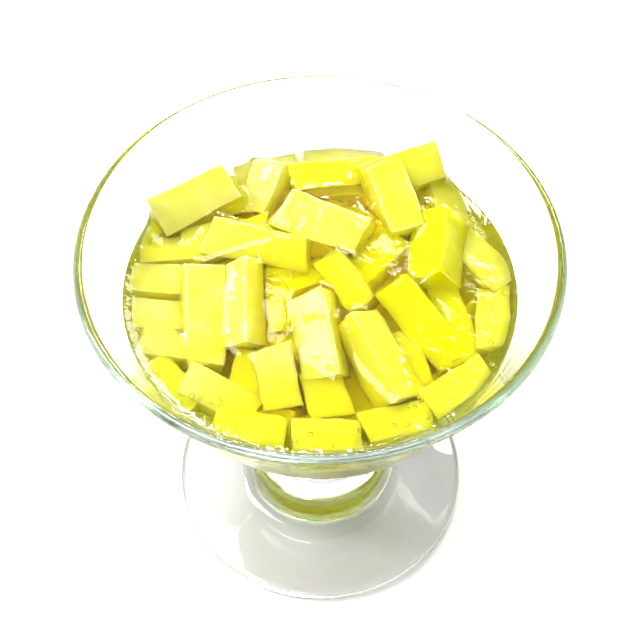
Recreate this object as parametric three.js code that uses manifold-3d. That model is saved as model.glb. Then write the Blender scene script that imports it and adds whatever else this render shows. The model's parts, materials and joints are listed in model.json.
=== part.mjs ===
// Jelly batons in syrup, heaped in a footed glass dessert dish.
// Millimetres, +Z up. The origin is at the middle of the foot's flat underside.

import * as THREE from 'three';
import { mergeVertices } from 'three/addons/utils/BufferGeometryUtils.js';
import Module from 'manifold-3d';

const wasm = await Module();
wasm.setup();

// ---------- driving dimensions ----------

const DISH_HEIGHT = 98;
const RIM_RADIUS = 52;
const LIP_THICKNESS = 2.4;
const FOOT_RADIUS = 38.2;
const FOOT_EDGE = 2.8; // height of the foot's rounded edge
const STEM_RADIUS = 16.3;
const STEM_WAIST = 20; // height of the stem's slimmest place
const BOWL_FLOOR = 45.5; // height of the bowl's inner floor on the axis

const SYRUP_LEVEL = 82.6;
const GAP = 0.3; // between pieces that touch
const TURN_SEGMENTS = 44; // facets round the dish and what meets it
const CORE_SEGMENTS = 24; // facets round the heap's core
const CORNER_CUT = 0.16; // chamfer of a dry baton's long edges, as a share of its smaller side
const END_TAPER = 0.06; // how much slimmer a baton's second end is
const BENT_STEPS = 3; // lengthwise divisions of a bent baton

const CORE_TOP = 84.4; // height of the heap's core on the axis
const CORE_FALL = 10; // how far the core's top falls towards its edge
const CORE_RADIUS = 33;
const CORE_WALL_GAP = 3.2; // syrup between the core and the bowl

// The batons, from the back of the dish to its front. Each runs from the middle of one end to the
// middle of the other. Roll turns it about its own length, and bend lifts its middle.
const BATONS = [
  // back rim of the heap
  { from: [-4, 40.5, 78], to: [16, 40, 79], width: 7.5, depth: 7, roll: 10 },
  { from: [-20, 33.5, 78], to: [-4.5, 38, 79], width: 8, depth: 6, roll: 10 },
  { from: [-10.5, 35, 84], to: [-15, 22, 80], width: 8, depth: 6, roll: 20 },
  { from: [-7, 31, 81.5], to: [14.5, 34.5, 82.5], width: 7.5, depth: 7, roll: 15, bend: 1 },
  { from: [-6, 30.5, 77], to: [14, 30, 77.5], width: 7, depth: 6.5, roll: 0 },
  { from: [11, 29.5, 83.5], to: [28, 34, 87.5], width: 9, depth: 7.5, roll: 30 },
  { from: [27, 34, 83], to: [30.5, 17.5, 78], width: 8, depth: 7, roll: -20 },
  { from: [22.5, 30, 80], to: [23, 14, 76], width: 8, depth: 7, roll: 0 },
  // upper left
  { from: [-37.5, 19.5, 83.5], to: [-20.5, 27.5, 87], width: 9, depth: 7.5, roll: 35 },
  { from: [-37.5, 19, 79], to: [-17, 27.5, 80], width: 7, depth: 6.5, roll: 20 },
  { from: [-30.5, 13.5, 79], to: [-18, 15.5, 81.5], width: 7.5, depth: 7, roll: 10 },
  { from: [-26, 12.5, 77.5], to: [-11, 17.5, 79.5], width: 7.5, depth: 7, roll: 10 },
  { from: [-41, 11, 79], to: [-24, 12.5, 79], width: 7, depth: 7, roll: 0 },
  { from: [-41, 14.5, 79.5], to: [-33, 25, 80], width: 6.5, depth: 6.5, roll: 0 },
  // crown
  { from: [-8.5, 18.5, 87], to: [9.5, 11, 85.5], width: 9.5, depth: 7.5, roll: 22 },
  { from: [-24.5, 15, 82.5], to: [-2.5, 7.5, 84], width: 8.5, depth: 8, roll: 36, bend: 0.8 },
  { from: [14.5, 31.5, 86.5], to: [19.5, 14.5, 83], width: 8.5, depth: 8, roll: 0 },
  { from: [27.5, 19, 84.5], to: [25, 1, 82], width: 9, depth: 8.5, roll: 38 },
  { from: [7, 3, 78], to: [17.5, 14.5, 80.5], width: 8, depth: 7, roll: 0 },
  { from: [-8, 2.5, 78], to: [8.5, 5.5, 78], width: 8, depth: 7.5, roll: 0 },
  // left wall
  { from: [-42.5, 3.5, 79], to: [-22.5, 2, 79], width: 8, depth: 7, roll: 0 },
  { from: [-41, -6, 79], to: [-21.5, -8, 78.5], width: 7.5, depth: 7, roll: 0 },
  { from: [-39, -13, 79], to: [-20.5, -16, 77.5], width: 7, depth: 7, roll: 0 },
  { from: [-36, -18.5, 78.5], to: [-26, -29.5, 77.5], width: 7, depth: 7, roll: 0 },
  // lying down the front slope
  { from: [-26, 4, 83], to: [-25, -18.5, 78], width: 8.5, depth: 8, roll: -8, bend: 0.6 },
  { from: [-17.5, 4.5, 85], to: [-16.5, -14.5, 80], width: 7.5, depth: 7, roll: 35 },
  { from: [-9, 6, 80], to: [-8.5, -8, 75.5], width: 6, depth: 6, roll: 0 },
  { from: [-2, -4, 84], to: [1.5, -22, 79], width: 8.5, depth: 8, roll: 22 },
  { from: [2, 7, 83.5], to: [10, -5, 80.5], width: 7, depth: 7, roll: 20 },
  { from: [7.5, -9, 83.5], to: [17, -27.5, 78], width: 8, depth: 8, roll: -30 },
  { from: [16, 1, 80.5], to: [30, -17.5, 77], width: 9, depth: 8, roll: 20, bend: 1.6 },
  // right wall
  { from: [31.5, 15, 79.5], to: [41.5, 1.5, 79], width: 8, depth: 7, roll: 0 },
  { from: [38.5, 1, 78.5], to: [37, -15, 78], width: 7.5, depth: 7, roll: 0 },
  { from: [26, 3, 77.5], to: [31.5, -15.5, 76], width: 7.5, depth: 7, roll: 0 },
  { from: [16.5, -10, 78], to: [20.5, -24, 74.5], width: 8, depth: 7, roll: 0 },
  { from: [22.5, -29.5, 77.5], to: [35.5, -20, 78.5], width: 7.5, depth: 7, roll: 0 },
  // front, sunk under the syrup
  { from: [-13.5, -15, 77.5], to: [-16.5, -26, 74.5], width: 7.5, depth: 7, roll: 0 },
  { from: [-29, -22.5, 77.5], to: [-13.5, -30, 76.5], width: 8, depth: 7, roll: 0, bend: 0.8 },
  { from: [-10.5, -15, 80], to: [-8, -28.5, 76], width: 8.5, depth: 7.5, roll: 0 },
  { from: [-0.5, -20, 77.5], to: [2.5, -30.5, 75], width: 9, depth: 7.5, roll: 0 },
  { from: [9, -34.5, 77], to: [23.5, -31.5, 77.5], width: 7.5, depth: 7, roll: 0 },
  { from: [-22, -33, 77.5], to: [-7, -36, 77], width: 7.5, depth: 7, roll: 0 },
  { from: [-6, -36, 77], to: [8.5, -36.5, 77], width: 7.5, depth: 7, roll: 0 },
];

// ---------- solids ----------

// Turns a closed profile of (radius, height) points about the upright axis.
function turned(profile, segments = TURN_SEGMENTS) {
  const geometry = new THREE.LatheGeometry(profile, segments);
  geometry.rotateX(Math.PI / 2);
  return geometry;
}

function toManifold(geometry) {
  const plain = geometry.clone();
  plain.deleteAttribute('normal');
  plain.deleteAttribute('uv');
  const welded = mergeVertices(plain, 1e-4);
  const index = Array.from(welded.index.array);
  const triangles = [];
  for (let i = 0; i < index.length; i += 3) {
    const [a, b, c] = index.slice(i, i + 3);
    if (a !== b && b !== c && c !== a) triangles.push(a, b, c);
  }
  const mesh = new wasm.Mesh({
    numProp: 3,
    vertProperties: new Float32Array(welded.attributes.position.array),
    triVerts: new Uint32Array(triangles),
  });
  return new wasm.Manifold(mesh);
}

function toGeometry(solid) {
  const mesh = solid.getMesh();
  const geometry = new THREE.BufferGeometry();
  geometry.setAttribute('position', new THREE.BufferAttribute(mesh.vertProperties, 3));
  geometry.setIndex(new THREE.BufferAttribute(mesh.triVerts, 1));
  geometry.computeVertexNormals();
  return geometry;
}

function union(solids) {
  return solids.reduce((whole, solid) => whole.add(solid));
}

// The biggest shell of a solid, without its sealed pockets and loose crumbs.
function largest(solid) {
  return solid.decompose().reduce((best, part) => (part.volume() > best.volume() ? part : best));
}

// ---------- the dish ----------

// The bowl's inner wall from the floor's middle up to the lip, moved off the glass by inset.
function innerWall(inset) {
  const curve = new THREE.SplineCurve([
    new THREE.Vector2(0, BOWL_FLOOR),
    new THREE.Vector2(13, 46.9),
    new THREE.Vector2(25, 53),
    new THREE.Vector2(36, 67),
    new THREE.Vector2(43, 83),
    new THREE.Vector2(RIM_RADIUS - LIP_THICKNESS, DISH_HEIGHT - LIP_THICKNESS / 2),
  ]);
  const steps = 10;
  return curve.getPoints(steps).map((point, i) => {
    const tangent = i === 0 ? new THREE.Vector2(1, 0) : curve.getTangent(i / steps);
    const radius = Math.max(0, point.x - inset * tangent.y);
    return new THREE.Vector2(i === 0 ? 0 : radius, point.y + inset * tangent.x);
  });
}

// The outside from the foot's top edge, up the stem and under the bowl to the lip.
function outerWall() {
  const curve = new THREE.SplineCurve([
    new THREE.Vector2(FOOT_RADIUS - 1.2, FOOT_EDGE),
    new THREE.Vector2(31, 3.7),
    new THREE.Vector2(24.8, 4.4),
    new THREE.Vector2(20.6, 5.2),
    new THREE.Vector2(19, 8),
    new THREE.Vector2(17.4, 13),
    new THREE.Vector2(STEM_RADIUS, STEM_WAIST),
    new THREE.Vector2(17.3, 31),
    new THREE.Vector2(22.2, 40.5),
    new THREE.Vector2(29.8, 51.5),
    new THREE.Vector2(38.4, 66),
    new THREE.Vector2(45.6, 83),
    new THREE.Vector2(RIM_RADIUS, DISH_HEIGHT - LIP_THICKNESS / 2),
  ]);
  return curve.getPoints(18);
}

function dishProfile() {
  const edge = FOOT_EDGE / 2;
  const footEdge = new THREE.Path();
  footEdge.moveTo(0, 0);
  footEdge.lineTo(FOOT_RADIUS - edge, 0);
  footEdge.absarc(FOOT_RADIUS - edge, edge, edge, -Math.PI / 2, Math.PI / 3, false);
  const lip = new THREE.Path();
  const lipRadius = LIP_THICKNESS / 2;
  lip.absarc(RIM_RADIUS - lipRadius, DISH_HEIGHT - lipRadius, lipRadius, 0, Math.PI, false);
  const lipPoints = lip.getPoints(2).slice(1, -1);
  return [...footEdge.getPoints(2), ...outerWall(), ...lipPoints, ...innerWall(0).reverse()];
}

function glassDish() {
  return turned(dishProfile());
}

// The space in the bowl up to a level, clear of the glass by inset.
function bowlSpace(level, inset) {
  const wall = innerWall(inset);
  const below = wall.filter((point) => point.y < level);
  const lower = below[below.length - 1];
  const upper = wall[below.length];
  const share = (level - lower.y) / (upper.y - lower.y);
  const brim = lower.clone().lerp(upper, share);
  return turned([...below, brim, new THREE.Vector2(0, level)]);
}

// ---------- the jelly ----------

// A rectangle, with its corners cut by a share of its smaller side, as the section of a baton.
function batonSection(width, depth, cutShare) {
  const cut = cutShare * Math.min(width, depth);
  const [x, y] = [width / 2, depth / 2];
  if (cut === 0) {
    return new THREE.Shape([
      new THREE.Vector2(x, -y),
      new THREE.Vector2(x, y),
      new THREE.Vector2(-x, y),
      new THREE.Vector2(-x, -y),
    ]);
  }
  return new THREE.Shape([
    new THREE.Vector2(x - cut, -y),
    new THREE.Vector2(x, -y + cut),
    new THREE.Vector2(x, y - cut),
    new THREE.Vector2(x - cut, y),
    new THREE.Vector2(-x + cut, y),
    new THREE.Vector2(-x, y - cut),
    new THREE.Vector2(-x, -y + cut),
    new THREE.Vector2(-x + cut, -y),
  ]);
}

function isDry({ from, to }) {
  return Math.max(from[2], to[2]) > SYRUP_LEVEL;
}

// One baton, made larger all round by grow.
function baton({ from, to, width, depth, roll, bend = 0 }, grow, cut) {
  const start = new THREE.Vector3(...from);
  const end = new THREE.Vector3(...to);
  const length = start.distanceTo(end) + 2 * grow;
  const section = batonSection(width + 2 * grow, depth + 2 * grow, cut);
  const options = { depth: length, steps: bend ? BENT_STEPS : 1, bevelEnabled: false };
  const geometry = new THREE.ExtrudeGeometry(section, options);
  geometry.translate(0, 0, -length / 2);
  const position = geometry.attributes.position;
  for (let i = 0; i < position.count; i += 1) {
    const along = position.getZ(i) / (length / 2);
    const slim = 1 - (END_TAPER * (along + 1)) / 2;
    position.setX(i, position.getX(i) * slim);
    position.setY(i, position.getY(i) * slim + bend * (1 - along * along));
  }
  const axis = end.clone().sub(start).normalize();
  const across = new THREE.Vector3(0, 0, 1).cross(axis).normalize();
  const above = axis.clone().cross(across);
  const turn = new THREE.Matrix4().makeBasis(across, above, axis);
  geometry.applyMatrix4(new THREE.Matrix4().makeRotationZ(THREE.MathUtils.degToRad(roll)));
  geometry.applyMatrix4(turn);
  geometry.translate(...start.add(end).multiplyScalar(0.5));
  return toManifold(geometry);
}

// The packed middle of the heap, which all the batons lie on.
function heapCore(grow) {
  const wall = innerWall(CORE_WALL_GAP - grow).filter((point) => point.x < CORE_RADIUS + grow);
  const steps = 4;
  const crown = [];
  for (let i = 0; i <= steps; i += 1) {
    const share = 1 - i / steps;
    const height = CORE_TOP + grow - CORE_FALL * share ** 2;
    crown.push(new THREE.Vector2((CORE_RADIUS + grow) * share, height));
  }
  return toManifold(turned([...wall, ...crown], CORE_SEGMENTS));
}

function jellyHeap() {
  const pieces = BATONS.map((shape) => baton(shape, 0, isDry(shape) ? CORNER_CUT : 0));
  const bowl = toManifold(bowlSpace(DISH_HEIGHT - LIP_THICKNESS * 2, GAP));
  return toGeometry(largest(union([heapCore(0), ...pieces]).intersect(bowl)));
}

// ---------- the syrup ----------

// Syrup up to its level, cut round every baton and the packed middle.
function syrup() {
  const cutters = BATONS.map((shape) => baton(shape, GAP, 0));
  const pool = toManifold(bowlSpace(SYRUP_LEVEL, GAP));
  return toGeometry(largest(pool.subtract(union([heapCore(GAP), ...cutters]))));
}

// ---------- materials and assembly ----------

function finish(color, roughness, opacity) {
  const transparent = opacity < 1;
  return new THREE.MeshStandardMaterial({ color, roughness, metalness: 0, opacity, transparent });
}

function piece(name, geometry, material) {
  const mesh = new THREE.Mesh(geometry, material);
  mesh.name = name;
  return mesh;
}

const dessert = new THREE.Group();
dessert.add(piece('glass_dish', glassDish(), finish(0xe6efe8, 0.03, 0.35)));
dessert.add(piece('jelly_heap', jellyHeap(), finish(0xfdf678, 0.25, 1)));
dessert.add(piece('syrup', syrup(), finish(0xf6e61e, 0.08, 0.6)));

export default dessert;
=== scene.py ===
"""Jelly batons in clear yellow syrup, heaped in a footed glass dessert dish.

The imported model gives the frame: the dish's size, the syrup's level and the heap. Each piece made
here stands for one of its nodes, at the same place and size. Lengths are in metres.
"""

from __future__ import annotations

import json
import logging
import math
import random
from collections.abc import Callable, Iterator
from contextlib import contextmanager
from dataclasses import dataclass, field
from enum import Enum

import bmesh
import bpy
from mathutils import Matrix, Vector

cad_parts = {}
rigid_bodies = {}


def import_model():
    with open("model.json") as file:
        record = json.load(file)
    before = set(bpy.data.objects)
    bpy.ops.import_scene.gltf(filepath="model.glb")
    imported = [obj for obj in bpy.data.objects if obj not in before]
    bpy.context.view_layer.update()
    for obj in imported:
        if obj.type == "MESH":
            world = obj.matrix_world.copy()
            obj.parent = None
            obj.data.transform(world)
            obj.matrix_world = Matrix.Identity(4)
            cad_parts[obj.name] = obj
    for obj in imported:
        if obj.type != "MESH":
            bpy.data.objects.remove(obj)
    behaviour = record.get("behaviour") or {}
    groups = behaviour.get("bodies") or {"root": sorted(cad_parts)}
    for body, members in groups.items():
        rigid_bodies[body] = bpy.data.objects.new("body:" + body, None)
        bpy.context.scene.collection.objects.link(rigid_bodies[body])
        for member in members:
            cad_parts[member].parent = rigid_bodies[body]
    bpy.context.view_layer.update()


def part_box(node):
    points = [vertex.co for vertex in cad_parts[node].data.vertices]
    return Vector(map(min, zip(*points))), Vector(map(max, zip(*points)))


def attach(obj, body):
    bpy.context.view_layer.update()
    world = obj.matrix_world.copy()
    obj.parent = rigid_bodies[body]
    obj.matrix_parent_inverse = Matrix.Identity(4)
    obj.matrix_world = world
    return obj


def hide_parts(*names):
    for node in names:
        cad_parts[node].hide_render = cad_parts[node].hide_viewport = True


LOG = logging.getLogger("jelly_dish")
MM = 0.001
UP = Vector((0.0, 0.0, 1.0))

Point2 = tuple[float, float]
Rgba = tuple[float, float, float, float]


class Slot(Enum):
    """The record's material slots."""

    GLASS = "dish_glass"
    JELLY = "jelly"
    SYRUP = "syrup"


class Node(Enum):
    """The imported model's nodes."""

    GLASS = "glass_dish"
    JELLY = "jelly_heap"
    SYRUP = "syrup"


# ---------------------------------------------------------------- workbench


class Bench:
    """Blender's modelling operators, driven without a window."""

    @staticmethod
    def only(*objects: bpy.types.Object) -> None:
        """Selects just these objects and makes the first one active.

        Args:
            *objects: The objects to select.
        """
        for other in bpy.context.scene.objects:
            other.select_set(False)
        for chosen in objects:
            chosen.select_set(True)
        bpy.context.view_layer.objects.active = objects[0] if objects else None

    @staticmethod
    @contextmanager
    def editing(obj: bpy.types.Object) -> Iterator[bmesh.types.BMesh]:
        """Opens an object in edit mode and closes it again.

        Args:
            obj: The mesh object to edit.

        Yields:
            The edit mesh, for choosing what the next operator acts on.
        """
        Bench.only(obj)
        bpy.ops.object.mode_set(mode="EDIT")
        try:
            yield bmesh.from_edit_mesh(obj.data)
        finally:
            bpy.ops.object.mode_set(mode="OBJECT")

    @staticmethod
    def pick_edges(
        obj: bpy.types.Object, test: Callable[[bmesh.types.BMEdge], bool]
    ) -> None:
        """Selects the edges that pass a test, in edit mode.

        Args:
            obj: The object being edited.
            test: Says whether an edge is wanted.
        """
        bpy.ops.mesh.select_mode(type="EDGE")
        bpy.ops.mesh.select_all(action="DESELECT")
        mesh = bmesh.from_edit_mesh(obj.data)
        for edge in mesh.edges:
            edge.select_set(test(edge))
        bmesh.update_edit_mesh(obj.data)

    @staticmethod
    def modify(obj: bpy.types.Object, kind: str, **settings: object) -> None:
        """Adds one modifier and applies it.

        Args:
            obj: The object to change.
            kind: The modifier's type.
            **settings: The modifier's own settings.
        """
        Bench.only(obj)
        modifier = obj.modifiers.new(kind.lower(), kind)
        for name, value in settings.items():
            setattr(modifier, name, value)
        bpy.ops.object.modifier_apply(modifier=modifier.name)

    @staticmethod
    def duplicate(obj: bpy.types.Object, name: str) -> bpy.types.Object:
        """Copies an object with a mesh of its own.

        Args:
            obj: The object to copy.
            name: The copy's name.

        Returns:
            The copy.
        """
        twin = obj.copy()
        twin.data = obj.data.copy()
        twin.name = name
        bpy.context.collection.objects.link(twin)
        return twin

    @staticmethod
    def join(parts: list[bpy.types.Object], name: str) -> bpy.types.Object:
        """Joins objects into one.

        Args:
            parts: The objects to join.
            name: The joined object's name.

        Returns:
            The joined object.
        """
        Bench.only(*parts)
        if len(parts) > 1:
            bpy.ops.object.join()
        whole = bpy.context.view_layer.objects.active
        whole.name = name
        whole.data.name = name
        return whole

    @staticmethod
    def place(obj: bpy.types.Object, matrix: Matrix) -> None:
        """Moves an object's mesh to its place and leaves the object at the origin.

        Args:
            obj: The object to place.
            matrix: Where it goes.
        """
        obj.matrix_world = matrix
        Bench.only(obj)
        bpy.ops.object.transform_apply(location=True, rotation=True, scale=True)

    @staticmethod
    def smooth(obj: bpy.types.Object, degrees: float = 180.0) -> None:
        """Shades an object smooth up to an angle between faces."""
        Bench.only(obj)
        bpy.ops.object.shade_smooth_by_angle(angle=math.radians(degrees))

    @staticmethod
    def spun(profile: list[Point2], steps: int, name: str) -> bpy.types.Object:
        """Turns a profile about the upright axis, as on a lathe.

        Args:
            profile: Radius and height of each point, from the axis to the axis.
            steps: Divisions of the full turn.
            name: The new object's name.

        Returns:
            The turned, closed object.
        """
        radius, height = profile[0]
        bpy.ops.object.select_all(action="DESELECT")
        bpy.ops.mesh.primitive_plane_add(size=MM, location=(radius, 0.0, height))
        obj = bpy.context.active_object
        obj.name = name
        Bench.place(obj, obj.matrix_world.copy())
        with Bench.editing(obj):
            bpy.ops.mesh.select_mode(type="VERT")
            bpy.ops.mesh.select_all(action="SELECT")
            bpy.ops.mesh.merge(type="CENTER")
            for before, after in zip(profile, profile[1:]):
                step = (after[0] - before[0], 0.0, after[1] - before[1])
                bpy.ops.mesh.extrude_vertices_move(
                    TRANSFORM_OT_translate={"value": step}
                )
            bpy.ops.mesh.select_all(action="SELECT")
            bpy.ops.mesh.spin(
                steps=steps, angle=math.tau, center=(0, 0, 0), axis=(0, 0, 1)
            )
            bpy.ops.mesh.select_all(action="SELECT")
            bpy.ops.mesh.remove_doubles(threshold=1e-6)
            bpy.ops.mesh.normals_make_consistent(inside=False)
        return obj


def spline(stations: list[Point2], steps: int) -> list[Point2]:
    """Samples the smooth curve through a few stations.

    Args:
        stations: The points the curve passes through.
        steps: Divisions of the curve.

    Returns:
        The sampled points, ends included.
    """
    last = len(stations) - 1
    points = []
    for i in range(steps + 1):
        at = i / steps * last
        k = min(int(at), last - 1)
        t = at - k
        p0 = stations[max(k - 1, 0)]
        p1, p2 = stations[k], stations[k + 1]
        p3 = stations[min(k + 2, last)]
        point = []
        for a, b, c, d in zip(p0, p1, p2, p3):
            v0, v1 = (c - a) / 2, (d - b) / 2
            cubic = (2 * b - 2 * c + v0 + v1) * t**3
            point.append(cubic + (3 * c - 3 * b - 2 * v0 - v1) * t**2 + v0 * t + b)
        points.append(tuple(point))
    return points


def either_way(rng: random.Random, most: float) -> float:
    """Draws a fault of up to this much to either side."""
    return rng.uniform(-most, most)


def smoothstep(low: float, high: float, value: float) -> float:
    """Rises smoothly from 0 at low to 1 at high."""
    t = min(1.0, max(0.0, (value - low) / (high - low)))
    return t * t * (3 - 2 * t)


# ---------------------------------------------------------------- finishes


class NodeBook:
    """A short way to write a material's nodes."""

    def __init__(self, name: str) -> None:
        """Starts an empty material with its output node.

        Args:
            name: The material's name.
        """
        self.material = bpy.data.materials.new(name)
        self.material.use_nodes = True
        self.tree = self.material.node_tree
        self.tree.nodes.clear()
        self.output = self.add("ShaderNodeOutputMaterial")

    def add(self, kind: str, **settings: object) -> bpy.types.Node:
        """Adds a node. Settings whose names are its sockets' set those sockets.

        Args:
            kind: The node's type.
            **settings: Properties by name, and sockets with _ for each space.

        Returns:
            The new node.
        """
        node = self.tree.nodes.new(kind)
        for name, value in settings.items():
            socket = node.inputs.get(name.replace("_", " "))
            if socket is not None:
                socket.default_value = value
            else:
                setattr(node, name, value)
        return node

    def link(self, source: bpy.types.NodeSocket, target: bpy.types.NodeSocket) -> None:
        """Joins an output to an input."""
        self.tree.links.new(source, target)

    def noise(
        self,
        size: float,
        detail: float,
        coords: str = "Object",
        stretch: tuple[float, float, float] = (1.0, 1.0, 1.0),
    ) -> bpy.types.NodeSocket:
        """Adds a noise texture.

        Args:
            size: Size of a feature, in metres.
            detail: Octaves of finer noise.
            coords: The coordinates it follows, Object or UV.
            stretch: Scale of the coordinates along each axis; under 1 draws features out.

        Returns:
            The noise's output.
        """
        where = self.add("ShaderNodeTexCoord")
        mapping = self.add("ShaderNodeMapping", Scale=stretch)
        texture = self.add("ShaderNodeTexNoise", Scale=1 / size, Detail=detail)
        self.link(where.outputs[coords], mapping.inputs["Vector"])
        self.link(mapping.outputs["Vector"], texture.inputs["Vector"])
        return texture.outputs["Fac"]

    def weighed(
        self, value: bpy.types.NodeSocket, weight: float, base: bpy.types.NodeSocket
    ) -> bpy.types.NodeSocket:
        """Adds a noise, centred on nought and weighed, to a base value.

        Args:
            value: The noise, from 0 to 1.
            weight: How much of it counts.
            base: What it is added to.

        Returns:
            The sum's output.
        """
        centred = self.add("ShaderNodeMath", operation="SUBTRACT")
        centred.inputs[1].default_value = 0.5
        total = self.add("ShaderNodeMath", operation="MULTIPLY_ADD")
        total.inputs[1].default_value = weight
        self.link(value, centred.inputs[0])
        self.link(centred.outputs[0], total.inputs[0])
        self.link(base, total.inputs[2])
        return total.outputs[0]

    def clear_surface(
        self, ior: float, roughness: float = 0.0
    ) -> bpy.types.Node:
        """Adds a clear refracting surface.

        Args:
            ior: Its refractive index.
            roughness: How much it blurs.

        Returns:
            The shader node, already linked to the output.
        """
        shader = self.add(
            "ShaderNodeBsdfPrincipled",
            Base_Color=(1.0, 1.0, 1.0, 1.0),
            Roughness=roughness,
            IOR=ior,
            Transmission_Weight=1.0,
        )
        self.link(shader.outputs[0], self.output.inputs["Surface"])
        return shader

    def absorb(self, tint: Rgba, density: float) -> None:
        """Adds plain absorption inside the piece.

        Args:
            tint: What passes.
            density: How fast the rest is lost.
        """
        volume = self.add("ShaderNodeVolumeAbsorption", Color=tint, Density=density)
        self.link(volume.outputs[0], self.output.inputs["Volume"])

    def bump(self, height: bpy.types.NodeSocket, distance: float) -> bpy.types.Node:
        """Adds a bump node over a height.

        Args:
            height: The height output.
            distance: Height in metres of a full step.

        Returns:
            The bump node.
        """
        node = self.add("ShaderNodeBump", Strength=1.0, Distance=distance)
        self.link(height, node.inputs["Height"])
        return node


@dataclass(frozen=True)
class GlassFinish:
    """Clear pressed glass, faintly green in the thick, with fine rings left by the mould."""

    name: str = "pressed_glass"
    ior: float = 1.5
    tint: Rgba = (0.86, 0.93, 0.89, 1.0)
    tint_density: float = 16.0
    ripple_size: float = 2.5 * MM
    ripple_stretch: float = 0.1
    ripple_height: float = 0.05 * MM

    def material(self) -> bpy.types.Material:
        """Builds the material.

        Returns:
            The glass material.
        """
        book = NodeBook(self.name)
        shader = book.clear_surface(self.ior)
        drawn_out = (self.ripple_stretch, self.ripple_stretch, 1.0)
        rings = book.noise(self.ripple_size, 1.0, stretch=drawn_out)
        bump = book.bump(rings, self.ripple_height)
        book.link(bump.outputs["Normal"], shader.inputs["Normal"])
        book.absorb(self.tint, self.tint_density)
        return book.material


@dataclass(frozen=True)
class SyrupFinish:
    """Thick clear yellow syrup with a slightly wavy wet surface."""

    name: str = "yellow_syrup"
    ior: float = 1.39
    roughness: float = 0.03
    tint: Rgba = (1.0, 0.985, 0.0, 1.0)
    tint_density: float = 190.0
    wave_size: float = 3.0 * MM
    wave_height: float = 0.35 * MM

    def material(self) -> bpy.types.Material:
        """Builds the material.

        Returns:
            The syrup material.
        """
        book = NodeBook(self.name)
        shader = book.clear_surface(self.ior, self.roughness)
        waves = book.noise(self.wave_size, 2.0)
        bump = book.bump(waves, self.wave_height)
        book.link(bump.outputs["Normal"], shader.inputs["Normal"])
        book.absorb(self.tint, self.tint_density)
        return book.material


@dataclass(frozen=True)
class JellyFinish:
    """Translucent set jelly: cloudy inside, with fine cut marks, deeper or paler by the piece,
    partly its own colour and partly painted shade and highlight.
    """

    name: str = "yellow_jelly"
    deep: Rgba = (1.0, 0.950, 0.0, 1.0)
    middle: Rgba = (1.0, 0.925, 0.15, 1.0)
    pale: Rgba = (1.0, 0.955, 0.54, 1.0)
    ior: float = 1.37
    roughness: float = 0.22
    shine: float = 0.25
    scatter: float = 6 * MM
    scatter_share: tuple[float, float, float] = (1.0, 0.95, 0.35)
    cloud_size: float = 7 * MM
    cloud_amount: float = 0.5
    cut_mark_size: float = 1.4 * MM
    cut_mark_stretch: float = 0.1
    cut_mark_height: float = 0.2 * MM
    cut_mark_tone: float = 0.9

    def material(self) -> bpy.types.Material:
        """Builds the material.

        Returns:
            The jelly material.
        """
        book = NodeBook(self.name)
        # tone holds each piece's own colour together with the painted shade and painted highlight
        # laid on the batons.
        tone = book.add("ShaderNodeAttribute", attribute_name="tone").outputs["Fac"]
        clouds = book.noise(self.cloud_size, 3.0)
        clouded = book.weighed(clouds, self.cloud_amount, tone)
        marks = book.noise(
            self.cut_mark_size, 2.0, "UV", (self.cut_mark_stretch, 1.0, 1.0)
        )
        mixed = book.weighed(marks, self.cut_mark_tone, clouded)
        ramp = book.add("ShaderNodeValToRGB")
        stops = ramp.color_ramp.elements
        stops[0].color = self.deep
        stops[1].color = self.pale
        stops.new(0.5).color = self.middle
        book.link(mixed, ramp.inputs["Fac"])
        shader = book.add(
            "ShaderNodeBsdfPrincipled",
            Roughness=self.roughness,
            IOR=self.ior,
            Specular_IOR_Level=self.shine,
            Subsurface_Weight=1.0,
            Subsurface_Radius=self.scatter_share,
            Subsurface_Scale=self.scatter,
        )
        book.link(ramp.outputs["Color"], shader.inputs["Base Color"])
        bump = book.bump(marks, self.cut_mark_height)
        book.link(bump.outputs["Normal"], shader.inputs["Normal"])
        book.link(shader.outputs[0], book.output.inputs["Surface"])
        return book.material


@dataclass(frozen=True)
class BubbleFinish:
    """Air caught in the syrup: the surface of a bubble seen from the syrup's side."""

    name: str = "air_bubble"
    ior: float = 1 / SyrupFinish.ior

    def material(self) -> bpy.types.Material:
        """Builds the material.

        Returns:
            The bubble material.
        """
        book = NodeBook(self.name)
        book.clear_surface(self.ior)
        return book.material


@dataclass(frozen=True)
class FloorFinish:
    """A plain white matt table."""

    name: str = "white_table"
    color: Rgba = (0.70, 0.69, 0.672, 1.0)

    def material(self) -> bpy.types.Material:
        """Builds the material.

        Returns:
            The floor material.
        """
        book = NodeBook(self.name)
        shader = book.add(
            "ShaderNodeBsdfPrincipled",
            Base_Color=self.color,
            Roughness=0.8,
            Specular_IOR_Level=0.0,
        )
        book.link(shader.outputs[0], book.output.inputs["Surface"])
        return book.material


# ---------------------------------------------------------------- the dish


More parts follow.
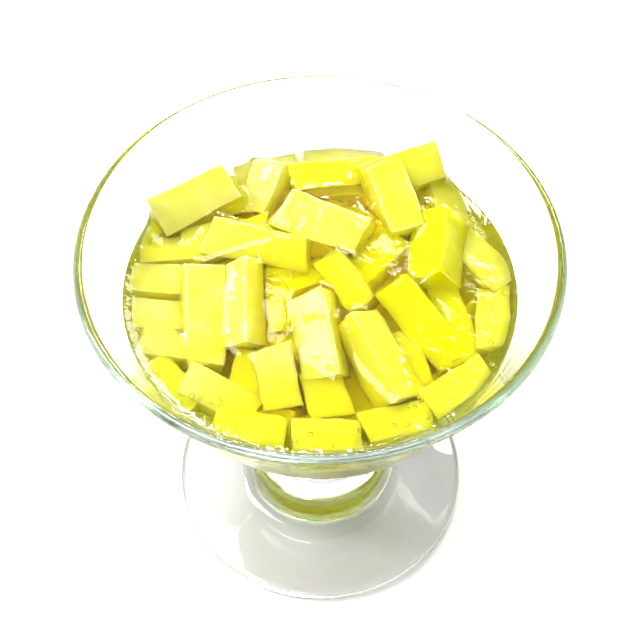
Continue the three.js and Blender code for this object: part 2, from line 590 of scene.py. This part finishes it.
@dataclass(frozen=True)
class DishForm:
    """The turned outline of the dish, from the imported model's own size."""

    height: float
    rim_radius: float
    lip: float = 2.4 * MM
    foot_radius: float = 38.2 * MM
    foot_edge: float = 2.8 * MM
    foot_hollow: float = 0.7 * MM
    stem_radius: float = 16.3 * MM
    stem_waist: float = 20 * MM
    bowl_floor: float = 45.5 * MM

    def inner(self, steps: int = 80) -> list[Point2]:
        """The bowl's inner wall, from the floor's middle up to the lip."""
        stations = [
            (0.0, self.bowl_floor),
            (13 * MM, 46.9 * MM),
            (25 * MM, 53 * MM),
            (36 * MM, 67 * MM),
            (43 * MM, 83 * MM),
            (self.rim_radius - self.lip, self.height - self.lip / 2),
        ]
        return spline(stations, steps)

    def outer(self, steps: int = 144) -> list[Point2]:
        """The outside, from the foot's top edge up the stem and the bowl to the lip."""
        stations = [
            (self.foot_radius - 1.2 * MM, self.foot_edge),
            (31 * MM, 3.7 * MM),
            (24.8 * MM, 4.4 * MM),
            (20.6 * MM, 5.2 * MM),
            (19 * MM, 8 * MM),
            (17.4 * MM, 13 * MM),
            (self.stem_radius, self.stem_waist),
            (17.3 * MM, 31 * MM),
            (22.2 * MM, 40.5 * MM),
            (29.8 * MM, 51.5 * MM),
            (38.4 * MM, 66 * MM),
            (45.6 * MM, 83 * MM),
            (self.rim_radius, self.height - self.lip / 2),
        ]
        return spline(stations, steps)

    def profile(self) -> list[Point2]:
        """The whole closed outline, from the underside's middle to the bowl floor's middle."""
        edge = self.foot_edge / 2
        ring = self.foot_radius - edge
        foot = [(0.0, self.foot_hollow), (ring * 0.5, self.foot_hollow * 0.9)]
        foot += [(ring * 0.8, self.foot_hollow * 0.55), (ring * 0.93, 0.1 * MM)]
        foot += arc(self.foot_radius - edge, edge, edge, -90, 60, 12)
        lip = self.lip / 2
        rim = arc(self.rim_radius - lip, self.height - lip, lip, 0, 180, 14)[1:-1]
        return foot + self.outer() + rim + self.inner()[::-1]

    def inner_radius(self, height: float) -> float:
        """The bowl's inner radius at a height.

        Args:
            height: The height above the table.

        Returns:
            The radius, or 0 below the bowl's floor.
        """
        wall = self.inner()
        if height <= wall[0][1]:
            return 0.0
        for (r0, z0), (r1, z1) in zip(wall, wall[1:]):
            if z0 <= height <= z1:
                return r0 + (r1 - r0) * (height - z0) / (z1 - z0)
        return wall[-1][0]


def arc(
    x: float, y: float, radius: float, start: float, end: float, steps: int
) -> list[Point2]:
    """Points of an arc.

    Args:
        x: The centre's radius from the dish's axis.
        y: The centre's height.
        radius: The arc's radius.
        start: First angle, in degrees.
        end: Last angle, in degrees.
        steps: Divisions.

    Returns:
        The points, ends included.
    """
    points = []
    for i in range(steps + 1):
        angle = math.radians(start + (end - start) * i / steps)
        points.append((x + radius * math.cos(angle), y + radius * math.sin(angle)))
    return points


@dataclass
class FootedDish:
    """The clear glass dish: foot, stem and bowl in one turned piece."""

    form: DishForm
    finish: GlassFinish = field(default_factory=GlassFinish)
    turn_steps: int = 192

    def build(self) -> bpy.types.Object:
        """Turns the glass.

        Returns:
            The finished piece.
        """
        dish = Bench.spun(self.form.profile(), self.turn_steps, "footed_dish")
        Bench.smooth(dish)
        dish.data.materials.append(self.finish.material())
        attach(dish, "root")
        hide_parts(Node.GLASS.value)
        return dish


# ---------------------------------------------------------------- the jelly


@dataclass(frozen=True)
class Baton:
    """One cut piece: from the middle of one end to the middle of the other, in millimetres.

    Roll turns it about its own length, in degrees. Bend lifts its middle. Tone runs from 0 for deep
    yellow to 1 for pale:
    partly the piece's own colour, partly painted shade on pieces low in the gaps and painted
    highlight on pieces whose faces catch the light.
    """

    start: tuple[float, float, float]
    end: tuple[float, float, float]
    width: float
    depth: float
    roll: float = 0.0
    bend: float = 0.0
    tone: float = 0.5

    def matrix(self) -> Matrix:
        """Where a baton modelled along X, with its top up, goes."""
        start, end = Vector(self.start) * MM, Vector(self.end) * MM
        axis = (end - start).normalized()
        across = UP.cross(axis).normalized()
        above = axis.cross(across)
        turn = Matrix.Rotation(math.radians(self.roll), 4, axis)
        basis = Matrix((axis, across, above)).transposed().to_4x4()
        return Matrix.Translation((start + end) / 2) @ turn @ basis

    def size(self) -> Vector:
        """Length, width and depth in metres."""
        length = (Vector(self.end) - Vector(self.start)).length
        return Vector((length, self.width, self.depth)) * MM


# The batons that show, from the back of the dish to its front. Their tones are partly each piece's
# own colour and partly painted light: deep tones on pieces low in the gaps are painted shade, and
# pale tones on pieces whose faces catch the light are painted highlight.
SHOWN_BATONS = (
    # back rim of the heap
    Baton((-4, 40.5, 78), (16, 40, 79), 7.5, 7, 10, tone=0.95),
    Baton((-20, 33.5, 78), (-4.5, 38, 79), 8, 6, 10, tone=0.9),
    Baton((-10.5, 35, 84), (-15, 22, 80), 8, 6, 20, tone=0.68),
    Baton((-7, 31, 81.5), (14.5, 34.5, 82.5), 7.5, 7, 15, 1, tone=0.3),
    Baton((-6, 30.5, 77), (14, 30, 77.5), 7, 6.5),
    Baton((11, 29.5, 83.5), (28, 34, 87.5), 9, 7.5, 30, tone=0.5),
    Baton((27, 34, 83), (30.5, 17.5, 78), 8, 7, -20),
    Baton((22.5, 30, 80), (23, 14, 76), 8, 7),
    # upper left
    Baton((-37.5, 19.5, 83.5), (-20.5, 27.5, 87), 9, 7.5, 35, tone=0.62),
    Baton((-37.5, 19, 79), (-17, 27.5, 80), 7, 6.5, 20),
    Baton((-30.5, 13.5, 79), (-18, 15.5, 81.5), 7.5, 7, 10),
    Baton((-26, 12.5, 77.5), (-11, 17.5, 79.5), 7.5, 7, 10),
    Baton((-41, 11, 79), (-24, 12.5, 79), 7, 7),
    Baton((-41, 14.5, 79.5), (-33, 25, 80), 6.5, 6.5),
    # crown
    Baton((-8.5, 18.5, 87), (9.5, 11, 85.5), 9.5, 7.5, 22, tone=0.6),
    Baton((-24.5, 15, 82.5), (-2.5, 7.5, 84), 8.5, 8, 36, 0.8, tone=0.58),
    Baton((14.5, 31.5, 86.5), (19.5, 14.5, 83), 8.5, 8, tone=0.5),
    Baton((27.5, 19, 84.5), (25, 1, 82), 9, 8.5, 38, tone=0.06),
    Baton((7, 3, 78), (17.5, 14.5, 80.5), 8, 7, tone=0.05),
    Baton((-8, 2.5, 78), (8.5, 5.5, 78), 8, 7.5, tone=0.05),
    # left wall
    Baton((-42.5, 3.5, 79), (-22.5, 2, 79), 8, 7, tone=0.66),
    Baton((-41, -6, 79), (-21.5, -8, 78.5), 7.5, 7, tone=0.72),
    Baton((-39, -13, 79), (-20.5, -16, 77.5), 7, 7, tone=0.72),
    Baton((-36, -18.5, 78.5), (-26, -29.5, 77.5), 7, 7),
    # lying down the front slope
    Baton((-26, 4, 83), (-25, -18.5, 78), 8.5, 8, -8, 0.6, tone=0.55),
    Baton((-17.5, 4.5, 85), (-16.5, -14.5, 80), 7.5, 7, 35, tone=0.6),
    Baton((-9, 6, 80), (-8.5, -8, 75.5), 6, 6, tone=0.2),
    Baton((-2, -4, 84), (1.5, -22, 79), 8.5, 8, 22, tone=0.62),
    Baton((2, 7, 83.5), (10, -5, 80.5), 7, 7, 20, tone=0.5),
    Baton((7.5, -9, 83.5), (17, -27.5, 78), 8, 8, -30, tone=0.45),
    Baton((16, 1, 80.5), (30, -17.5, 77), 9, 8, 20, 1.6, tone=0.08),
    # right wall
    Baton((31.5, 15, 79.5), (41.5, 1.5, 79), 8, 7),
    Baton((38.5, 1, 78.5), (37, -15, 78), 7.5, 7),
    Baton((26, 3, 77.5), (31.5, -15.5, 76), 7.5, 7, tone=0.1),
    Baton((16.5, -10, 78), (20.5, -24, 74.5), 8, 7),
    Baton((22.5, -29.5, 77.5), (35.5, -20, 78.5), 7.5, 7),
    # front, sunk under the syrup
    Baton((-13.5, -15, 77.5), (-16.5, -26, 74.5), 7.5, 7),
    Baton((-29, -22.5, 77.5), (-13.5, -30, 76.5), 8, 7, 0, 0.8, tone=0.7),
    Baton((-10.5, -15, 80), (-8, -28.5, 76), 8.5, 7.5, tone=0.58),
    Baton((-0.5, -20, 77.5), (2.5, -30.5, 75), 9, 7.5),
    Baton((9, -34.5, 77), (23.5, -31.5, 77.5), 7.5, 7),
    Baton((-22, -33, 77.5), (-7, -36, 77), 7.5, 7),
    Baton((-6, -36, 77), (8.5, -36.5, 77), 7.5, 7),
)


@dataclass
class BatonModel:
    """The master baton: a cut block with softened edges, one unit of each size long."""

    edge_radius: float = 0.75 * MM
    nominal: Vector = field(default_factory=lambda: Vector((21, 8, 7.5)) * MM)
    edge_segments: int = 3
    length_cuts: int = 11
    side_cuts: int = 3
    # How much paler the rounded edges are made: a painted highlight.
    edge_highlight_tone: float = 0.35

    def build(self, name: str) -> bpy.types.Object:
        """Models the master.

        Args:
            name: The master's name.

        Returns:
            The block, lying along X at the origin.
        """
        bpy.ops.object.select_all(action="DESELECT")
        bpy.ops.mesh.primitive_cube_add(size=1.0, calc_uvs=True)
        block = bpy.context.active_object
        block.name = name
        block.scale = self.nominal
        Bench.place(block, block.matrix_world.copy())
        with Bench.editing(block):
            bpy.ops.mesh.select_all(action="SELECT")
            bpy.ops.mesh.bevel(
                offset=self.edge_radius,
                segments=self.edge_segments,
                profile=0.5,
                affect="EDGES",
            )
            for axis, cuts in (
                (0, self.length_cuts),
                (1, self.side_cuts),
                (2, self.side_cuts),
            ):
                self._cut_along(block, axis, cuts)
        self._map_along(block)
        self._paint_edge_highlight(block)
        return block

    def _map_along(self, block: bpy.types.Object) -> None:
        """Gives each face its own coordinates in metres, the first along the baton."""
        mesh = block.data
        layer = mesh.uv_layers.active.data
        for face in mesh.polygons:
            slant = [abs(part) for part in face.normal]
            first, second = ((1, 2), (0, 2), (0, 1))[slant.index(max(slant))]
            for corner in face.loop_indices:
                at = mesh.vertices[mesh.loops[corner].vertex_index].co
                layer[corner].uv = (at[first], at[second] + 0.02 * first)

    def _paint_edge_highlight(self, block: bpy.types.Object) -> None:
        """Marks the rounded edges paler, a painted highlight for the light they catch in their thin
        jelly.
        """
        tone = block.data.attributes.new("tone", "FLOAT", "FACE")
        for face, value in zip(block.data.polygons, tone.data):
            slant = max(abs(part) for part in face.normal)
            value.value = self.edge_highlight_tone if slant < 0.97 else 0.0

    def _cut_along(self, block: bpy.types.Object, axis: int, cuts: int) -> None:
        """Divides the long edges that run along one axis.

        Args:
            block: The block being edited.
            axis: 0, 1 or 2 for X, Y or Z.
            cuts: How many cuts each edge gets.
        """
        shortest = self.nominal[axis] * 0.6

        def runs_along(edge: bmesh.types.BMEdge) -> bool:
            span = edge.verts[1].co - edge.verts[0].co
            return abs(span[axis]) > shortest

        Bench.pick_edges(block, runs_along)
        bpy.ops.mesh.subdivide(number_cuts=cuts)


@dataclass(frozen=True)
class CutFaults:
    """How far a cut baton may stray from a true block, either way."""

    skew: float = 0.22
    taper: float = 0.14
    twist: float = 0.14
    lift: float = 0.06
    bend: float = 0.10
    tone: float = 0.06
    end_depth: float = 1.2 * MM


@dataclass(frozen=True)
class SunkRows:
    """Batons lying along the bowl under the ones that show, in millimetres."""

    heights: tuple[float, ...] = (52.0, 58.0, 64.0, 70.0, 76.0)
    open_above: float = 75.0
    open_before: float = 15.0
    from_wall: float = 5.0
    spacing: float = 11.5
    half_length: Point2 = (7.0, 10.5)
    width: Point2 = (6.5, 8.5)
    depth: Point2 = (6.0, 8.0)


@dataclass
class JellyHeap:
    """The cut jelly: batons that show, and batons packed round a core under them."""

    form: DishForm
    level: float
    finish: JellyFinish = field(default_factory=JellyFinish)
    faults: CutFaults = field(default_factory=CutFaults)
    rows: SunkRows = field(default_factory=SunkRows)
    seed: int = 11
    crease: float = 38.0
    wall_gap: float = 0.15 * MM
    floor_gap: float = 2 * MM
    wobble: float = 0.8 * MM
    packed_voxel: float = 0.55 * MM

    def build(self) -> bpy.types.Object:
        """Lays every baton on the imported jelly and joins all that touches.

        Returns:
            The finished piece.
        """
        rng = random.Random(self.seed)
        fine = BatonModel().build("baton_master")
        plain = BatonModel(edge_segments=2, length_cuts=5, side_cuts=1).build(
            "sunk_baton_master"
        )
        heap = self._packed(plain, rng)
        for i, baton in enumerate(SHOWN_BATONS):
            piece = self._lay(fine, baton, rng, f"baton_{i}")
            self._wobble(piece)
            self._press_to_wall(piece)
            Bench.modify(
                heap, "BOOLEAN", operation="UNION", solver="MANIFOLD", object=piece
            )
            bpy.data.objects.remove(piece)
        for master in (fine, plain):
            bpy.data.objects.remove(master)
        Bench.smooth(heap, self.crease)
        heap.data.materials.clear()
        heap.data.materials.append(self.finish.material())
        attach(heap, "root")
        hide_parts(Node.JELLY.value)
        return heap

    def _packed(self, master: bpy.types.Object, rng: random.Random) -> bpy.types.Object:
        """Packs sunk batons round the core and gives them one skin.

        Args:
            master: The block to copy.
            rng: Places the batons.

        Returns:
            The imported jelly.
        """
        parts = [self._core()]
        for i, baton in enumerate(self._sunk_batons(rng)):
            parts.append(self._lay(master, baton, rng, f"sunk_{i}"))
        packed = Bench.join(parts, "jelly")
        self._press_to_wall(packed)
        Bench.modify(packed, "REMESH", mode="VOXEL", voxel_size=self.packed_voxel)
        Bench.modify(packed, "SMOOTH", factor=0.5, iterations=2)
        return packed

    def _lay(
        self, master: bpy.types.Object, baton: Baton, rng: random.Random, name: str
    ) -> bpy.types.Object:
        """Lays one baton, slightly tapered, twisted and bent, with its ends cut askew.

        Args:
            master: The block to copy.
            baton: Where it lies.
            rng: Gives it its own small faults.
            name: Its name.

        Returns:
            The laid baton.
        """
        piece = Bench.duplicate(master, name)
        size = baton.size()
        piece.scale = Vector([s / n for s, n in zip(size, master.dimensions)])
        Bench.only(piece)
        bpy.ops.object.transform_apply(location=False, rotation=False, scale=True)
        faults = self.faults
        for side in (-1, 1):
            askew = either_way(rng, faults.skew)
            self._skew_end(piece, side * size.x / 2, askew)
        taper, twist = either_way(rng, faults.taper), either_way(rng, faults.twist)
        rise = math.atan2(baton.bend * 8, size.x / MM) + either_way(rng, faults.lift)
        for method, axis, amount in (
            ("TAPER", "X", {"factor": taper}),
            ("TWIST", "X", {"angle": twist}),
            ("BEND", "Z", {"angle": either_way(rng, faults.bend)}),
            ("BEND", "Y", {"angle": rise}),
        ):
            Bench.modify(
                piece, "SIMPLE_DEFORM", deform_method=method, deform_axis=axis, **amount
            )
        Bench.place(piece, baton.matrix())
        # The baton's tone, partly painted shade and highlight, goes onto every face.
        tone = baton.tone + either_way(rng, faults.tone)
        for value in piece.data.attributes["tone"].data:
            value.value += tone
        shift = Vector((rng.random(), rng.random()))
        for corner in piece.data.uv_layers.active.data:
            corner.uv += shift
        return piece

    def _skew_end(self, piece: bpy.types.Object, at: float, angle: float) -> None:
        """Turns one end of a baton, as a slanting cut leaves it.

        Args:
            piece: The baton, still along X.
            at: Where the end is along X.
            angle: The turn, in radians.
        """
        with Bench.editing(piece) as mesh:
            bpy.ops.mesh.select_mode(type="VERT")
            bpy.ops.mesh.select_all(action="DESELECT")
            for vertex in mesh.verts:
                vertex.select_set(abs(vertex.co.x - at) < self.faults.end_depth)
            mesh.select_flush_mode()
            bpy.ops.transform.rotate(
                value=angle, orient_axis="Z", center_override=(at, 0.0, 0.0)
            )

    def _wobble(self, obj: bpy.types.Object) -> None:
        """Leaves faces and edges slightly uneven, as soft jelly is."""
        texture = bpy.data.textures.new("jelly_wobble", "CLOUDS")
        texture.noise_scale = 5 * MM
        texture.noise_depth = 1
        Bench.modify(
            obj,
            "DISPLACE",
            texture=texture,
            texture_coords="LOCAL",
            strength=self.wobble,
            mid_level=0.5,
        )

    def _press_to_wall(self, obj: bpy.types.Object) -> None:
        """Presses whatever reaches past the bowl's wall or floor flat against it."""
        lowest = self.form.bowl_floor + self.floor_gap
        for vertex in obj.data.vertices:
            vertex.co.z = max(vertex.co.z, lowest)
            radius = math.hypot(vertex.co.x, vertex.co.y)
            limit = self.form.inner_radius(vertex.co.z) - self.wall_gap
            if radius > limit > 0:
                vertex.co.x *= limit / radius
                vertex.co.y *= limit / radius
        obj.data.update()

    def _sunk_batons(self, rng: random.Random) -> tuple[Baton, ...]:
        """Batons lying along the bowl under the ones that show, row above row."""
        rows, batons = self.rows, []
        for height in rows.heights:
            reach = self.form.inner_radius(height * MM) / MM - rows.from_wall
            count = max(3, int(math.tau * reach / rows.spacing))
            first = rng.uniform(0, math.tau)
            for i in range(count):
                angle = first + math.tau * (i + rng.uniform(-0.2, 0.2)) / count
                middle = Vector((math.cos(angle), math.sin(angle), 0)) * reach
                middle.z = height + rng.uniform(-1.5, 1.5)
                if height > rows.open_above and middle.y < rows.open_before:
                    continue
                turn = angle + math.pi / 2 + rng.uniform(-1.0, 1.0)
                half = rng.uniform(*rows.half_length)
                rise = rng.uniform(-0.25, 0.25)
                along = Vector((math.cos(turn), math.sin(turn), rise)).normalized() * half
                batons.append(
                    Baton(
                        tuple(middle - along),
                        tuple(middle + along),
                        rng.uniform(*rows.width),
                        rng.uniform(*rows.depth),
                        rng.uniform(-40, 40),
                        tone=rng.uniform(0.2, 0.6),
                    )
                )
        return tuple(batons)

    def _core(self) -> bpy.types.Object:
        """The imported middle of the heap, smaller than the heap all round."""
        wall = [
            (max(0.0, r - 7.5 * MM * smoothstep(0, 20 * MM, r)), z + 3.0 * MM)
            for r, z in self.form.inner(24)
            if z < self.level - 12 * MM
        ]
        reach = wall[-1][0]
        crown = []
        for i in range(1, 13):
            share = 1 - i / 12
            crown.append((reach * share, self.level - 6 * MM - 5 * MM * share**2))
        core = Bench.spun(wall + crown, 64, "jelly_core")
        texture = bpy.data.textures.new("core_lumps", "CLOUDS")
        texture.noise_scale = 6 * MM
        Bench.modify(
            core, "DISPLACE", texture=texture, texture_coords="LOCAL", strength=2.5 * MM
        )
        Bench.smooth(core)
        return core


# ---------------------------------------------------------------- the syrup


@dataclass
class Syrup:
    """The syrup: a pool up to its level, and what fills the gaps between the batons."""

    form: DishForm
    level: float
    finish: SyrupFinish = field(default_factory=SyrupFinish)
    into_wall: float = 0.12 * MM
    past_wall: float = 1.5 * MM
    meniscus_rise: float = 0.9 * MM
    meniscus_reach: float = 1.3 * MM
    mound_rise: float = 6.0 * MM
    mound_radius: float = 27 * MM
    mound_middle: float = 8 * MM
    voxel: float = 0.5 * MM
    gap_fill: float = 2.4 * MM
    film: float = 0.12 * MM
    crease: float = 60.0

    def build(self, jelly: bpy.types.Object) -> bpy.types.Object:
        """Fills the bowl and the gaps of the heap.

        Args:
            jelly: The heap, which the syrup clings to.

        Returns:
            The finished piece.
        """
        pool = Bench.spun(self._pool_profile(), 144, "pool")
        wet = Bench.duplicate(jelly, "wet_jelly")
        body = Bench.join([pool, self._mound(), wet], "syrup_body")
        self._remesh(body)
        self._grow(body, self.gap_fill)
        self._remesh(body)
        self._grow(body, self.film - self.gap_fill)
        Bench.modify(body, "SMOOTH", factor=0.5, iterations=3)
        space = Bench.spun(self._space_profile(), 160, "bowl_space")
        Bench.modify(
            body, "BOOLEAN", operation="INTERSECT", solver="MANIFOLD", object=space
        )
        bpy.data.objects.remove(space)
        Bench.smooth(body, self.crease)
        body.data.materials.clear()
        body.data.materials.append(self.finish.material())
        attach(body, "root")
        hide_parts(Node.SYRUP.value)
        return body

    def surface_height(self, radius: float) -> float:
        """Height of the pool's surface at a radius.

        Args:
            radius: Distance from the dish's axis.

        Returns:
            The level, raised where the syrup climbs the wall.
        """
        gap = max(0.0, self.form.inner_radius(self.level) - radius)
        return self.level + self.meniscus_rise * math.exp(-gap / self.meniscus_reach)

    def _mound(self) -> bpy.types.Object:
        """What clings in the thick of the heap, above the pool's level."""
        steps, foot = 24, self.level - 4 * MM
        profile = [(0.0, foot), (self.mound_radius, foot)]
        for i in range(steps + 1):
            share = 1 - i / steps
            height = self.level + self.mound_rise * (1 - share**2)
            profile.append((self.mound_radius * share, height))
        mound = Bench.spun(profile, 48, "mound")
        Bench.place(mound, Matrix.Translation((0.0, self.mound_middle, 0.0)))
        return mound

    def _pool_profile(self) -> list[Point2]:
        """Outline of the pool, a little past the wall, from its lowest middle to its top's."""
        past = self.past_wall
        wall = [
            (0.0 if r == 0 else r + past, z - past)
            for r, z in self.form.inner(60)
            if z - past < self.level
        ]
        top = wall[-1][0]
        steps = 90
        surface = []
        for i in range(steps + 1):
            radius = top * (1 - i / steps)
            surface.append((radius, self.surface_height(radius)))
        return wall + surface

    def _space_profile(self) -> list[Point2]:
        """Outline of the bowl's space up to the lip, reaching just into the glass."""
        wall = self.form.inner(80)
        skin = [(0.0 if r == 0 else r + self.into_wall, z - self.into_wall) for r, z in wall]
        return skin + [(0.0, skin[-1][1])]

    def _remesh(self, obj: bpy.types.Object) -> None:
        """Makes one even skin of all that overlaps."""
        Bench.modify(obj, "REMESH", mode="VOXEL", voxel_size=self.voxel)

    def _grow(self, obj: bpy.types.Object, distance: float) -> None:
        """Moves the whole skin out along its normals."""
        Bench.modify(obj, "DISPLACE", strength=distance, mid_level=0.0)


@dataclass
class Bubbles:
    """Small air bubbles caught in the syrup."""

    form: DishForm
    level: float
    finish: BubbleFinish = field(default_factory=BubbleFinish)
    seed: int = 5
    count: int = 46
    radius: Point2 = (0.25 * MM, 0.75 * MM)
    from_wall: Point2 = (1.2 * MM, 8.0 * MM)
    depth: Point2 = (0.9 * MM, 2.2 * MM)

    def build(self) -> bpy.types.Object:
        """Scatters the bubbles and joins them.

        Returns:
            The finished piece.
        """
        rng = random.Random(self.seed)
        bpy.ops.object.select_all(action="DESELECT")
        bpy.ops.mesh.primitive_ico_sphere_add(subdivisions=3, radius=1.0)
        master = bpy.context.active_object
        bubbles = []
        for i in range(self.count):
            bubble = Bench.duplicate(master, f"bubble_{i}")
            size = rng.uniform(*self.radius)
            angle = rng.uniform(0, math.tau)
            wall = self.form.inner_radius(self.level)
            radius = wall - rng.uniform(*self.from_wall)
            drop = rng.uniform(*self.depth)
            middle = Vector((radius * math.cos(angle), radius * math.sin(angle), 0))
            middle.z = self.level - drop
            Bench.place(bubble, Matrix.Translation(middle) @ Matrix.Scale(size, 4))
            bubbles.append(bubble)
        bpy.data.objects.remove(master)
        whole = Bench.join(bubbles, "bubbles")
        Bench.smooth(whole)
        whole.data.materials.clear()
        whole.data.materials.append(self.finish.material())
        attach(whole, "root")
        return whole


# ---------------------------------------------------------------- the studio


@dataclass(frozen=True)
class Lamp:
    """A rectangular lamp that faces the dessert: its place, its size and its brightness."""

    name: str
    place: tuple[float, float, float]
    size: Point2
    radiance: float


LAMPS = (
    Lamp("softbox", (-0.46, 0.06, 0.90), (0.5, 0.5), 8.5),
    Lamp("softbox_back", (0.30, 0.70, 0.72), (0.4, 0.3), 8.5),
    Lamp("strip_left", (-0.62, 0.20, 0.62), (0.05, 0.22), 90.0),
    Lamp("strip_back", (0.10, 0.85, 0.62), (0.30, 0.04), 90.0),
)


@dataclass
class Studio:
    """White table, bright surroundings, two softboxes, two strips and the camera."""

    aim_height: float = 70.85 * MM
    distance: float = 276.4 * MM
    pitch: float = 54.4
    lens: float = 67.93
    floor_size: float = 4.0
    floor: FloorFinish = field(default_factory=FloorFinish)
    room_light: float = 0.84
    near_side: Rgba = (0.10, 0.13, 0.13, 1.0)
    near_side_edge: Point2 = (-0.6, -0.3)
    near_side_top: Point2 = (0.22, 0.42)
    horizon: Rgba = (0.15, 0.19, 0.18, 1.0)
    horizon_reach: Point2 = (0.03, 0.25)
    bounces: int = 44
    diffuse_bounces: int = 24

    def build(self) -> None:
        """Sets up the scene around the object."""
        self._floor()
        self._world()
        for lamp in LAMPS:
            self._hang(lamp)
        self._camera()
        scene = bpy.context.scene
        scene.view_settings.view_transform = "Standard"
        scene.view_settings.look = "High Contrast"
        scene.cycles.use_denoising = True
        scene.cycles.max_bounces = self.bounces
        scene.cycles.diffuse_bounces = self.diffuse_bounces
        scene.cycles.transmission_bounces = self.bounces
        scene.cycles.glossy_bounces = self.bounces

    def _floor(self) -> None:
        """The table."""
        bpy.ops.object.select_all(action="DESELECT")
        bpy.ops.mesh.primitive_plane_add(size=self.floor_size)
        floor = bpy.context.active_object
        floor.name = "table"
        floor.data.materials.append(self.floor.material())

    def _world(self) -> None:
        """A white room, greyer towards the horizon and behind the camera."""
        world = bpy.data.worlds.new("white_room")
        bpy.context.scene.world = world
        world.use_nodes = True
        nodes, links = world.node_tree.nodes, world.node_tree.links
        nodes.clear()
        where = nodes.new("ShaderNodeTexCoord")
        split = nodes.new("ShaderNodeSeparateXYZ")
        ramp = nodes.new("ShaderNodeValToRGB")
        background = nodes.new("ShaderNodeBackground")
        output = nodes.new("ShaderNodeOutputWorld")
        links.new(where.outputs["Generated"], split.inputs[0])
        links.new(split.outputs["Z"], ramp.inputs["Fac"])
        bounds = []
        for axis, (start, end) in (
            ("Y", self.near_side_edge),
            ("Z", self.near_side_top),
        ):
            rise = nodes.new("ShaderNodeMapRange")
            rise.inputs["From Min"].default_value = start
            rise.inputs["From Max"].default_value = end
            links.new(split.outputs[axis], rise.inputs["Value"])
            bounds.append(rise.outputs[0])
        lit = nodes.new("ShaderNodeMath")
        lit.operation = "MAXIMUM"
        room = nodes.new("ShaderNodeMix")
        room.data_type = "RGBA"
        room.inputs["A"].default_value = self.near_side
        links.new(bounds[0], lit.inputs[0])
        links.new(bounds[1], lit.inputs[1])
        links.new(lit.outputs[0], room.inputs["Factor"])
        links.new(ramp.outputs["Color"], room.inputs["B"])
        links.new(room.outputs["Result"], background.inputs["Color"])
        links.new(background.outputs[0], output.inputs["Surface"])
        low, high = ramp.color_ramp.elements
        low.position, low.color = self.horizon_reach[0], self.horizon
        high.position, high.color = self.horizon_reach[1], (1.0, 1.0, 1.0, 1.0)
        background.inputs["Strength"].default_value = self.room_light

    def _hang(self, lamp: Lamp) -> None:
        """Hangs one lamp and turns it to the dessert.

        Args:
            lamp: The lamp.
        """
        data = bpy.data.lights.new(lamp.name, "AREA")
        data.shape = "RECTANGLE"
        data.size, data.size_y = lamp.size
        data.energy = lamp.radiance * math.pi * lamp.size[0] * lamp.size[1]
        hung = bpy.data.objects.new(lamp.name, data)
        bpy.context.collection.objects.link(hung)
        hung.location = lamp.place
        aim = Vector((0.0, 0.0, self.aim_height)) - Vector(lamp.place)
        hung.rotation_euler = aim.to_track_quat("-Z", "Y").to_euler()

    def _camera(self) -> None:
        """The camera, looking down over the rim."""
        data = bpy.data.cameras.new("camera")
        data.sensor_width = 36.0
        data.lens = self.lens
        data.clip_start = 0.01
        camera = bpy.data.objects.new("camera", data)
        bpy.context.collection.objects.link(camera)
        pitch = math.radians(self.pitch)
        camera.location = (
            0.0,
            -self.distance * math.cos(pitch),
            self.aim_height + self.distance * math.sin(pitch),
        )
        camera.rotation_euler = (math.pi / 2 - pitch, 0.0, 0.0)
        bpy.context.scene.camera = camera


# ---------------------------------------------------------------- assembly


def main() -> None:
    """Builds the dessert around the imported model."""
    logging.basicConfig(level=logging.INFO, format="%(name)s: %(message)s")
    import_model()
    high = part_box(Node.GLASS.value)[1]
    form = DishForm(height=high.z, rim_radius=high.x)
    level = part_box(Node.SYRUP.value)[1].z
    Studio().build()
    dish = FootedDish(form).build()
    LOG.info("%s: %d faces", dish.name, len(dish.data.polygons))
    jelly = JellyHeap(form, level).build()
    LOG.info("%s: %d faces", jelly.name, len(jelly.data.polygons))
    syrup = Syrup(form, level).build(jelly)
    LOG.info("%s: %d faces", syrup.name, len(syrup.data.polygons))
    bubbles = Bubbles(form, level).build()
    LOG.info("%s: %d faces", bubbles.name, len(bubbles.data.polygons))


if __name__ == "__main__":
    main()
